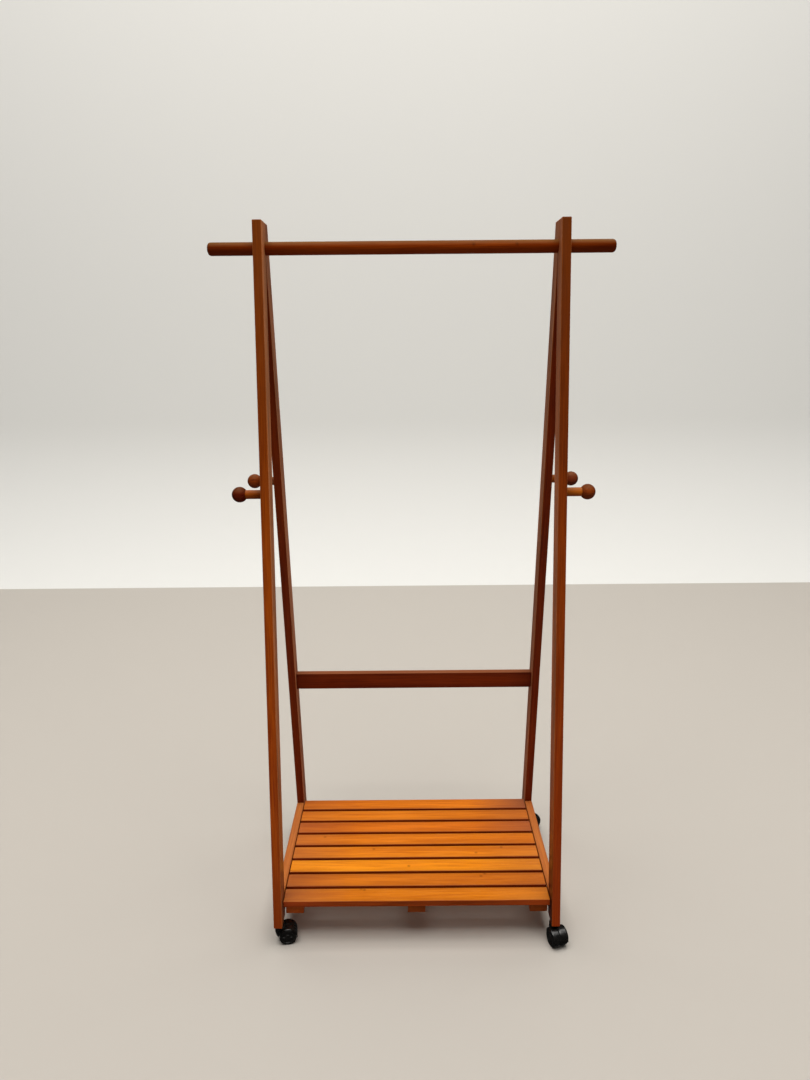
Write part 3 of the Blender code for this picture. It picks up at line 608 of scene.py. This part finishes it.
def cross_recess_mesh(name):
    """The tool that presses the cross into a wood screw's head, narrower towards its point."""
    arm, half = CROSS_ARM, CROSS_HALF_WIDTH
    plus = [(half, -arm), (half, -half), (arm, -half), (arm, half), (half, half), (half, arm)]
    plus += [(-x, -y) for x, y in plus]
    form = bmesh.new()
    rows = [[form.verts.new((x * s, y * s, z)) for x, y in plus] for s, z in ((1.1, 0.0005), (0.6, -CROSS_DEPTH))]
    return skinned(name, form, rows)


def joined(body, tool, operation):
    """Joins a tool to a body or cuts it out of it, as a modifier."""
    cut = body.modifiers.new(tool.name, "BOOLEAN")
    cut.operation = operation
    cut.object = tool


def set_mesh(piece):
    """The piece's mesh with its modifiers made real."""
    graph = bpy.context.evaluated_depsgraph_get()
    graph.update()
    return bpy.data.meshes.new_from_object(piece.evaluated_get(graph))


def crossed(name, outline):
    """A screw turned from an outline that ends on top at height 0, with the cross pressed into that top."""
    screw = place_piece(f"{name}_work", turned(f"{name}_work", outline, SCREW_FACETS))
    tool = place_piece("cross_work", cross_recess_mesh("cross_work"))
    joined(screw, tool, "DIFFERENCE")
    mesh = set_mesh(screw)
    for work in (screw, tool):
        bpy.data.objects.remove(work)
    mesh.name = name
    mesh.set_sharp_from_angle(angle=SHARP_EDGE)
    return mesh


SUNK_SHANK_RADIUS = 0.0019
SUNK_HEAD_RADIUS = 0.0040
SUNK_HEAD_HEIGHT = 0.0026

low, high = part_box("left_rail_screw")
length = high.y - low.y
sunk_screw = crossed("sunk_screw", [
    (0, -length), (0.0012, 0.003 - length), (SUNK_SHANK_RADIUS, 0.005 - length),
    (SUNK_SHANK_RADIUS, -SUNK_HEAD_HEIGHT), (SUNK_HEAD_RADIUS - 0.0002, -0.0004), (SUNK_HEAD_RADIUS, -0.0002),
    (SUNK_HEAD_RADIUS, 0), (0, 0),
])
sunk_screw.materials.append(zinc)
for side in SIDES:
    low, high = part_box(f"{side}_rail_screw")
    start = ((low.x + high.x) / 2, high.y, (low.z + high.z) / 2)
    piece = place_piece(f"crossed_{side}_rail_screw", sunk_screw, at=aimed((0, 1, 0), start))
    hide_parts(f"{side}_rail_screw")
    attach(piece, "frame")

PAN_HEAD_RADIUS = 0.0042
PAN_HEAD_HEIGHT = 0.0024
PAN_DOME_ANGLES = (0.12, 0.5, 0.9, 1.2, 1.4)
PAN_HEAD_GAP = 0.00005
dome = [(PAN_HEAD_RADIUS * math.cos(a), -PAN_HEAD_HEIGHT * (1 - math.sin(a))) for a in PAN_DOME_ANGLES]
pan_head = crossed("pan_head", [
    (0, -PAN_HEAD_HEIGHT), (PAN_HEAD_RADIUS - 0.0003, -PAN_HEAD_HEIGHT), *dome, (0, 0),
])
for bearer in BEARER_TONES:
    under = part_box(bearer)[0].z - PAN_HEAD_HEIGHT - PAN_HEAD_GAP
    heads = bmesh.new()
    for number in SLAT_TONES:
        at = (middle(bearer).x, middle(f"slat_{number}").y, under)
        copy = pan_head.copy()
        copy.transform(aimed((0, 0, -1), at))
        heads.from_mesh(copy)
        bpy.data.meshes.remove(copy)
    mesh = bpy.data.meshes.new(f"{bearer}_slat_screws")
    heads.to_mesh(mesh)
    heads.free()
    piece = place_piece(f"{bearer}_slat_screws", mesh, zinc)
    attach(piece, "frame")

for side, sx in SIDES.items():
    for screw in (f"{side}_crossbar_screw", f"{side}_front_shelf_screw", f"{side}_rear_shelf_screw"):
        low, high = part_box(screw)
        outer_x = low.x if sx < 0 else high.x
        start = Vector((outer_x, (low.y + high.y) / 2, (low.z + high.z) / 2))
        piece = place_piece(f"socketed_{screw}", connector_mesh(screw), zinc, aimed((-sx, 0, 0), start))
        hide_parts(screw)
        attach(piece, "frame")

# The pegs and their balls. A 20 mm dowel glued into each leg, a 35 mm turned ball glued on its end.
# The dowel is pale, because its side drinks little stain, and the ball is dark, because it's all end grain.
PEG_STAIN = {"pale": (0.45, 0.118, 0.0090), "deep": (0.27, 0.050, 0.0030)}
PEG_TONES = {"left": (0.80, 0.68, 0.60), "right": (1.05, 1.0, 1.0)}
# Painted shade on each dowel towards its leg and a painted sheen on its top; dowel and ball take painted shade below.
PEG_ROOT_SHADES = {"left": 1.25, "right": 0.65}
PEG_TOP_SHEENS = {"left": (0.12, (0.42, 0.20, 0.060)), "right": (0.3, (0.42, 0.20, 0.060))}
PEG_FACETS = 56
PEG_RADIUS = 0.010
PEG_LENGTH = 0.067
PEG_START = -0.0147
PEG_EDGE = 0.0008
PEG_CLEARANCE = 0.0003
KNOB_STAIN = {"pale": (0.27, 0.070, 0.014), "deep": (0.12, 0.024, 0.005)}
KNOB_TONES = {
    "left_front": (0.68, 0.24, 0.19),
    "left_rear": (1.02, 0.66, 0.33),
    "right_front": (1.18, 0.82, 0.47),
    "right_rear": (0.80, 0.53, 0.80),
}
# A painted highlight on each ball's top.
KNOB_TOP_SHEEN = (0.5, (0.155, 0.080, 0.026))
KNOB_RADIUS = 0.0175
KNOB_REACH = 0.050
KNOB_STEPS = 30
BORE_BOTTOM = 0.0033
MOUTH_ROUNDING = 0.0006


def ball_mesh(name):
    """A ball with a flat-bottomed bore, whose mouth faces -Z and is rounded over."""
    mouth = PEG_RADIUS + PEG_CLEARANCE
    lowest = math.asin((mouth + MOUTH_ROUNDING) / KNOB_RADIUS) - math.pi / 2
    angles = (math.pi / 2 + (lowest - math.pi / 2) * i / KNOB_STEPS for i in range(KNOB_STEPS + 1))
    outline = [(KNOB_RADIUS * math.cos(a), KNOB_RADIUS * math.sin(a)) for a in angles]
    outline[0] = (0, KNOB_RADIUS)
    lip = outline[-1][1]
    outline += [(mouth + 0.0002, lip + 0.0001), (mouth, lip + 0.0005), (mouth, BORE_BOTTOM), (0, BORE_BOTTOM)]
    return turned(name, outline, PEG_FACETS)


def dowel_mesh(name):
    """A dowel with bevelled ends along +Z, from its start in the leg to its end in the ball."""
    end = PEG_START + PEG_LENGTH
    outline = [(0, PEG_START), (PEG_RADIUS - PEG_EDGE, PEG_START), (PEG_RADIUS, PEG_START + PEG_EDGE)]
    outline += [(PEG_RADIUS, end - PEG_EDGE), (PEG_RADIUS - PEG_EDGE, end), (0, end)]
    return turned(name, outline, PEG_FACETS)


for side, sx in SIDES.items():
    for end in ENDS:
        peg = f"{side}_{end}_peg"
        knob = f"{side}_{end}_knob"
        low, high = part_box(peg)
        leg_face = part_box(f"{side}_{end}_leg")[1 if sx > 0 else 0].x
        root = Vector((leg_face, (low.y + high.y) / 2, (low.z + high.z) / 2))
        stain = {key: tuple(t * c for t, c in zip(PEG_TONES[side], colour)) for key, colour in PEG_STAIN.items()}
        peg_beech = stained_beech(
            f"{peg}_beech", stain, (0, 0, PEG_START + PEG_LENGTH / 2), (0, 0, 1), seed, PEG_LENGTH / 2,
            ends=((PEG_ROOT_SHADES[side], -0.4, None), (0.0, -0.4, None)),
            film=PEG_TOP_SHEENS[side], underside_shade=0.6, shine=0.12,
        )
        tones = KNOB_TONES[f"{side}_{end}"]
        stain = {key: tuple(t * c for t, c in zip(tones, colour)) for key, colour in KNOB_STAIN.items()}
        knob_beech = stained_beech(
            f"{knob}_beech", stain, (0, 0, 0), (0, 0, 1), seed + 1,
            film=KNOB_TOP_SHEEN, underside_shade=0.7, gloss=0.46, shine=0.10,
        )
        seed += 2
        dowel = place_piece(f"turned_{peg}", dowel_mesh(peg), peg_beech, aimed((sx, 0, 0), root))
        centre = root + Vector((sx * KNOB_REACH, 0, 0))
        ball = place_piece(f"turned_{knob}", ball_mesh(knob), knob_beech, aimed((sx, 0, 0), centre))
        for piece, node, finish_slot in ((dowel, peg, "peg_beech"), (ball, knob, "knob_beech")):
            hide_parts(node)
            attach(piece, "frame")

# The four casters. A plated insert is driven up each leg's end and holds the caster's plated stem.
# The hood is moulded in black nylon: a fender over both wheels, the stem's neck in front and a web between.
WHEEL_RADIUS = 0.020
WHEEL_WIDTH = 0.016
WHEEL_INNER = 0.0032
WHEEL_FACETS = 96
TREAD_ROUNDING = 0.0025
RIB_HEIGHT = 0.0010
TRAIL = 0.0185
HOOD_INSIDE = 0.0210
HOOD_OUTSIDE = 0.0230
HOOD_HALF_WIDTH = 0.0194
HOOD_WIDEST_AT = 0.004
HOOD_EDGE_ROUNDING = 0.0030
HOOD_CORNER = 0.0050
HOOD_SLICES = 56
HOOD_VOXEL = 0.0005
PLAN_STEPS = 40
PLAN_HEIGHT = 0.06
HOOD_SHARP_EDGE = math.radians(50)
NECK_RADIUS = 0.0114
NECK_LOW = 0.0161
NECK_TOP = 0.0479
NECK_FACETS = 72
WEB_HALF = 0.0025
CREASE_DEPTH = 0.0009
CREASE_WIDTH = 0.0016
AXLE_BORE_RADIUS = 0.0028
STEM_BORE_RADIUS = 0.0043
STEM_RADIUS = 0.004
STEM_FOOT = 0.0395
FLANGE_RADIUS = 0.0080
FLANGE_HEIGHT = 0.0012
SLEEVE_RADIUS = 0.0055
SLEEVE_HEIGHT = 0.020
LEG_CLEARANCE = 0.0003
CASTER_FACETS = 48
CASTER_HEADINGS = {"left_front": 8, "right_front": -74, "left_rear": 74, "right_rear": -20}


def black_nylon(name, gloss, dust):
    """Moulded black nylon: a soft gloss, fine handling scratches and a film of floor dust."""
    finish, tree, nylon = blank_finish(name)
    spot = add(tree, "ShaderNodeTexCoord", out="Object")
    scratches = ramp(tree, cloud(tree, spot, (900, 160, 900), 3), 0.58, 0.75)
    film = ramp(tree, cloud(tree, spot, (130, 130, 130), 4), 0.40, 0.72, 0, dust)
    colour = blended(tree, film, (0.0046, 0.0042, 0.0038), (0.043, 0.037, 0.030))
    colour = blended(tree, math_node(tree, "MULTIPLY", scratches, 0.2), colour, (0.040, 0.044, 0.040))
    tree.links.new(colour, nylon.inputs["Base Color"])
    rough = math_node(tree, "ADD", math_node(tree, "MULTIPLY", film, 0.5), gloss)
    rough = math_node(tree, "ADD", rough, math_node(tree, "MULTIPLY", scratches, 0.15))
    tree.links.new(rough, nylon.inputs["Roughness"])
    skin = cloud(tree, spot, (1400, 1400, 1400), 2)
    bump = add(tree, "ShaderNodeBump", {"Height": skin, "Strength": 0.10, "Distance": 0.0002})
    tree.links.new(bump, nylon.inputs["Normal"])
    return finish


def arc_points(radius, start, end, steps):
    """Points on a circle round the wheels' axle, as (distance along the trail, height), angles in degrees."""
    angles = (math.radians(start + (end - start) * i / steps) for i in range(steps + 1))
    return [(TRAIL + radius * math.cos(a), WHEEL_RADIUS + radius * math.sin(a)) for a in angles]


def fender_slice(across):
    """The fender's side view at a distance across from the middle: rounded off at its edge, creased at its middle."""
    beyond = max(abs(across) - (HOOD_HALF_WIDTH - HOOD_EDGE_ROUNDING), 0.0)
    rounded = HOOD_EDGE_ROUNDING - math.sqrt(max(HOOD_EDGE_ROUNDING ** 2 - beyond ** 2, 0.0))
    crease = CREASE_DEPTH * math.exp(-((across / CREASE_WIDTH) ** 2))
    thinned = min(rounded * 0.6 + crease, HOOD_OUTSIDE - HOOD_INSIDE - 0.0006)
    return arc_points(HOOD_OUTSIDE - thinned, -6, 177, 60)


def lofted(name, slices):
    """A closed form through slices of (across, outline), each outline drawn in the caster's XZ plane."""
    form = bmesh.new()
    rows = [[form.verts.new((x, across, z)) for x, z in outline] for across, outline in slices]
    return skinned(name, form, rows)


def plan_mesh(name):
    """The fender's plan, half an ellipse round the stem and straight along the wheels, with rounded rear corners."""
    corner = HOOD_CORNER
    rear = TRAIL + HOOD_OUTSIDE + 0.001
    half = HOOD_HALF_WIDTH
    outline = []
    for i in range(PLAN_STEPS + 1):
        a = math.radians(90 + 180 * i / PLAN_STEPS)
        outline.append((HOOD_WIDEST_AT + (HOOD_WIDEST_AT + NECK_RADIUS) * math.cos(a), half * math.sin(a)))
    outline += [(rear - corner + x, -half + corner + y) for x, y in quarter_round(corner, -90)]
    outline += [(rear - corner + x, half - corner + y) for x, y in quarter_round(corner, 0)]
    form = bmesh.new()
    rows = [[form.verts.new((x, y, z)) for x, y in outline] for z in (0.0, PLAN_HEIGHT)]
    return skinned(name, form, rows)


def hood_mesh():
    """The moulded hood: fender, neck and web made one, its corners softened, and the two bores reamed."""
    reach = HOOD_HALF_WIDTH + 0.001
    stations = [reach - 2 * reach * i / HOOD_SLICES for i in range(HOOD_SLICES + 1)]
    hood = place_piece("hood_work", lofted("hood_work", [(s, fender_slice(s)) for s in stations]))
    plan = plan_mesh("plan_work")
    neck = turned("neck_work", [
        (0, NECK_LOW), (0.0080, NECK_LOW), (0.0086, NECK_LOW + 0.0006), (NECK_RADIUS, 0.027), (NECK_RADIUS, 0.0464),
        (NECK_RADIUS - 0.0006, 0.0475), (NECK_RADIUS - 0.0016, NECK_TOP), (0, NECK_TOP),
    ], NECK_FACETS)
    space = lofted("space_work", [(s, arc_points(HOOD_INSIDE, 0, 357, 119)) for s in (-0.03, 0.03)])
    web_outline = arc_points(HOOD_INSIDE + 0.0010, 20, 190, 24) + arc_points(0.0060, 235, 340, 10)
    web = lofted("web_work", [(s, web_outline) for s in (-WEB_HALF, WEB_HALF)])
    tools = []
    for mesh, operation in ((plan, "INTERSECT"), (neck, "UNION"), (space, "DIFFERENCE"), (web, "UNION")):
        tools.append(place_piece(mesh.name, mesh))
        joined(hood, tools[-1], operation)
    fine = hood.modifiers.new("fine", "REMESH")
    fine.mode = "VOXEL"
    fine.voxel_size = HOOD_VOXEL
    soft = hood.modifiers.new("soft", "SMOOTH")
    soft.factor = 0.5
    soft.iterations = 5
    at_axle = aimed((0, 1, 0), (TRAIL, 0, WHEEL_RADIUS))
    for name, radius, start, end, at in (
        ("stem_bore", STEM_BORE_RADIUS, 0.0392, 0.055, Matrix()),
        ("axle_bore", AXLE_BORE_RADIUS, -0.01, 0.01, at_axle),
    ):
        outline = [(0, start), (radius, start), (radius, end), (0, end)]
        tools.append(place_piece(name, turned(name, outline, CASTER_FACETS), at=at))
        joined(hood, tools[-1], "DIFFERENCE")
    mesh = set_mesh(hood)
    for work in [hood, *tools]:
        bpy.data.objects.remove(work)
    mesh.shade_smooth()
    mesh.set_sharp_from_angle(angle=HOOD_SHARP_EDGE)
    return mesh


def wheel_mesh(name):
    """A wheel along +Z from its inner face to its dished outer one, with six ribs in the dish and a hub cap."""
    form = bmesh.new()
    bore, radius, width = AXLE_BORE_RADIUS, WHEEL_RADIUS, WHEEL_WIDTH
    levels = [(bore, 0.0123), (bore, 0.0), (radius - 0.0010, 0.0), (radius - 0.0003, 0.0003), (radius, 0.0010)]
    crown_shade_and_stain, face = radius - TREAD_ROUNDING, width - TREAD_ROUNDING
    levels += [(crown_shade_and_stain + r, face + h) for r, h in quarter_round(TREAD_ROUNDING, 0)]
    levels += [(0.0153, width), (0.0147, width - 0.0004), (0.0142, width - 0.0013)]
    levels += [(r, width - 0.0015) for r in (0.0130, 0.0112, 0.0095, 0.0083)]
    levels += [(0.0074, width - 0.0013), (0.0070, width - 0.0004), (0.0063, width - 0.0001)]
    levels += [(0.0036, width), (0.0012, width)]
    rows = []
    for r, h in levels:
        row = []
        for i in range(WHEEL_FACETS):
            a = 2 * math.pi * i / WHEEL_FACETS
            rib = max(0.0, 1 - abs(math.sin(3 * a)) * r / 0.0032)
            in_dish = 0.0073 < r < 0.0143 and h > 0.01
            raised = RIB_HEIGHT * min(1.0, 2.2 * rib) if in_dish else 0.0
            row.append(form.verts.new((r * math.cos(a), r * math.sin(a), h + raised)))
        rows.append(row)
    return skinned(name, form, rows)


def stem_outline(top):
    """The stem's side view from its foot in the hood, past its collar, up to its top in the insert."""
    return [
        (0, STEM_FOOT), (STEM_RADIUS, STEM_FOOT), (STEM_RADIUS, 0.0483), (0.0070, 0.0482), (0.0075, 0.0487),
        (0.0075, 0.0500), (0.0070, 0.0505), (STEM_RADIUS, 0.0505), (STEM_RADIUS, top - 0.0008),
        (STEM_RADIUS - 0.0008, top), (0, top),
    ]


def insert_outline(top):
    """The insert's closed side view: its flange, level with top, and the sleeve that stands on it in the leg."""
    bore, flange, edge = STEM_BORE_RADIUS, FLANGE_RADIUS, 0.0003
    return [
        (bore, top - FLANGE_HEIGHT), (flange - edge, top - FLANGE_HEIGHT), (flange, top - FLANGE_HEIGHT + edge),
        (flange, top - edge), (flange - edge, top), (SLEEVE_RADIUS, top), (SLEEVE_RADIUS, top + SLEEVE_HEIGHT),
        (bore, top + SLEEVE_HEIGHT),
    ]


hood_nylon = black_nylon("hood_nylon", 0.26, 0.12)
wheel_nylon = black_nylon("wheel_nylon", 0.38, 0.25)
moulded_hood = hood_mesh()
moulded_hood.materials.append(hood_nylon)
for corner, degrees in CASTER_HEADINGS.items():
    caster = f"{corner}_caster"
    low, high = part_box(f"{caster}_stem")
    foot = Vector(((low.x + high.x) / 2, (low.y + high.y) / 2, 0))
    stand = Matrix.Translation(foot) @ Matrix.Rotation(math.radians(degrees), 4, "Z")
    flange_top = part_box(f"{corner}_leg")[0].z - LEG_CLEARANCE
    collar = turned(f"{caster}_collar", stem_outline(high.z), CASTER_FACETS)
    stem = place_piece(f"turned_{caster}_stem", collar, zinc, stand)
    sleeve = turned(f"{caster}_insert", insert_outline(flange_top), CASTER_FACETS, closed=True)
    insert = place_piece(f"turned_{caster}_insert", sleeve, zinc, stand)
    hood = place_piece(f"moulded_{caster}_hood", moulded_hood, at=stand)
    for piece, node in ((stem, "stem"), (insert, "insert")):
        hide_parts(f"{caster}_{node}")
        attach(piece, "frame")
    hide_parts(f"{caster}_hood")
    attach(hood, f"{corner}_fork")
    dress(f"{caster}_axle", zinc)
    for number, across in ((1, -1), (2, 1)):
        hub = stand @ Matrix.Translation((TRAIL, across * WHEEL_INNER, WHEEL_RADIUS))
        face = hub @ Vector((0, across, 0)).to_track_quat("Z", "Y").to_matrix().to_4x4()
        moulding = wheel_mesh(f"{caster}_wheel_{number}")
        wheel = place_piece(f"moulded_{caster}_wheel_{number}", moulding, wheel_nylon, face)
        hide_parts(f"{caster}_wheel_{number}")
        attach(wheel, f"{corner}_wheel_{number}")
